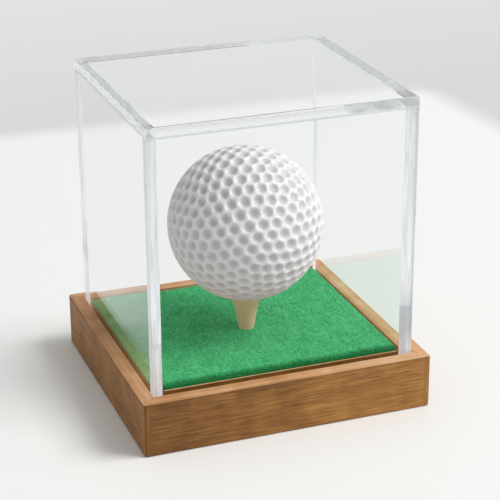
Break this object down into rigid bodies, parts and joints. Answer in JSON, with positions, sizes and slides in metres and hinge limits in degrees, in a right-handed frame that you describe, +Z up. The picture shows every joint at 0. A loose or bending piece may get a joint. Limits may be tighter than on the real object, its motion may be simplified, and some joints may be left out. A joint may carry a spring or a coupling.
{
  "type": "golf ball display case",
  "caption": "Wooden base with green felt, a short tee that holds a golf ball, and a clear box cover that lifts off.",
  "frame": {"origin": "centre of the base at the surface that its four pads stand on", "axes": "+Z up, +X to the right and +Y to the back, seen from the front rail"},
  "size_m": [0.081, 0.075, 0.0873],
  "materials": {
    "rail_wood": "oiled mid-brown hardwood, long grain along each rail",
    "core_wood": "brown stained board with sanded edges",
    "panel_board": "smooth dark hardboard",
    "green_felt": "short matted green felt",
    "ivory_plastic": "moulded ivory plastic, satin",
    "ball_white": "white moulded skin with clear coat",
    "core_rubber": "solid moulded rubber",
    "clear_acrylic": "clear cast acrylic with polished edges",
    "screw_steel": "zinc plated steel",
    "pad_rubber": "thin black rubber"
  },
  "bodies": {
    "base": {"rail_front": "rail_wood", "rail_right": "rail_wood", "rail_back": "rail_wood", "rail_left": "rail_wood", "bottom_panel": "panel_board", "core_board": "core_wood", "felt_mat": "green_felt", "panel_screw_1": "screw_steel", "panel_screw_2": "screw_steel", "panel_screw_3": "screw_steel", "panel_screw_4": "screw_steel", "foot_pad_1": "pad_rubber", "foot_pad_2": "pad_rubber", "foot_pad_3": "pad_rubber", "foot_pad_4": "pad_rubber"},
    "cover": {"cover_front": "clear_acrylic", "cover_back": "clear_acrylic", "cover_left": "clear_acrylic", "cover_right": "clear_acrylic", "cover_top": "clear_acrylic"},
    "tee": {"golf_tee": "ivory_plastic"},
    "ball": {"ball_cover": "ball_white", "ball_core": "core_rubber"}
  },
  "joints": [
    {"name": "cover_lift", "type": "slide", "parent": "base", "child": "cover", "axis": [0, 0, 1], "range_m": [0, 0.08]},
    {"name": "tee_turn", "type": "hinge", "parent": "base", "child": "tee", "pos_m": [0, -0.002, 0.012], "axis": [0, 0, 1], "continuous": true},
    {"name": "ball_lift", "type": "slide", "parent": "tee", "child": "ball", "axis": [0, 0, 1], "range_m": [0, 0.015]}
  ]
}
